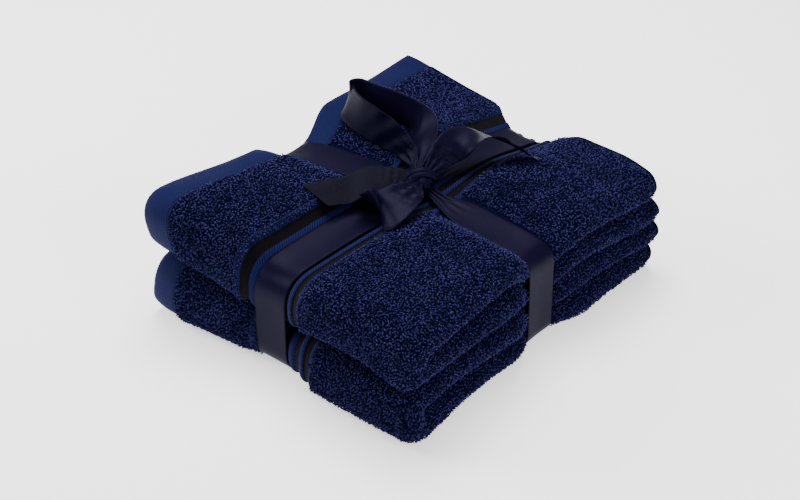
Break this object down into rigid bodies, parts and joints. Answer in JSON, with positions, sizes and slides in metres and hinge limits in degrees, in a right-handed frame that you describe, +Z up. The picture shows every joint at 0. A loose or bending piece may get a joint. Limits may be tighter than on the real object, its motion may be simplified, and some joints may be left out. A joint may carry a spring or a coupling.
{
  "type": "bath towel set",
  "caption": "Folded terry bath towels stacked flat, with woven hem bands and ribbed borders, wrapped both ways in satin ribbon and tied in a bow.",
  "frame": {"origin": "middle of the stack's footprint, on the surface that it stands on", "axes": "+Z up, +X towards the side that shows the double folds, -X towards the hemmed ends, -Y towards the round folds across the width, +Y towards the open side edges"},
  "size_m": [0.318, 0.378, 0.1616],
  "materials": {
    "terry_cloth": "looped cotton pile",
    "hem_thread": "matt sewing thread",
    "satin_ribbon": "satin face, matt back"
  },
  "bodies": {
    "tied_stack": {"lower_towel": "terry_cloth", "lower_end_hem_stitching": "hem_thread", "lower_side_hem_stitching": "hem_thread", "upper_towel": "terry_cloth", "upper_end_hem_stitching": "hem_thread", "upper_side_hem_stitching": "hem_thread", "crosswise_wrap": "satin_ribbon", "lengthwise_wrap": "satin_ribbon", "bow_knot": "satin_ribbon"},
    "back_loop": {"back_loop": "satin_ribbon"},
    "front_loop": {"front_loop": "satin_ribbon"},
    "left_tail": {"left_tail": "satin_ribbon"},
    "right_tail": {"right_tail": "satin_ribbon"}
  },
  "joints": [
    {"name": "back_loop_lift", "type": "hinge", "parent": "tied_stack", "child": "back_loop", "pos_m": [-0.01734, 0.01681, 0.1282], "axis": [0.2672, 0.9636, 0], "range_deg": [0, 65]},
    {"name": "front_loop_lift", "type": "hinge", "parent": "tied_stack", "child": "front_loop", "pos_m": [0.00466, -0.00539, 0.1282], "axis": [-0.9659, -0.2588, 0], "range_deg": [0, 60]},
    {"name": "left_tail_lift", "type": "hinge", "parent": "tied_stack", "child": "left_tail", "pos_m": [-0.009, -0.00359, 0.1282], "axis": [-0.866, 0.5, 0], "range_deg": [0, 50]},
    {"name": "right_tail_lift", "type": "hinge", "parent": "tied_stack", "child": "right_tail", "pos_m": [0.00954, 0.02727, 0.1282], "axis": [0.848, -0.5299, 0], "range_deg": [0, 60]}
  ]
}
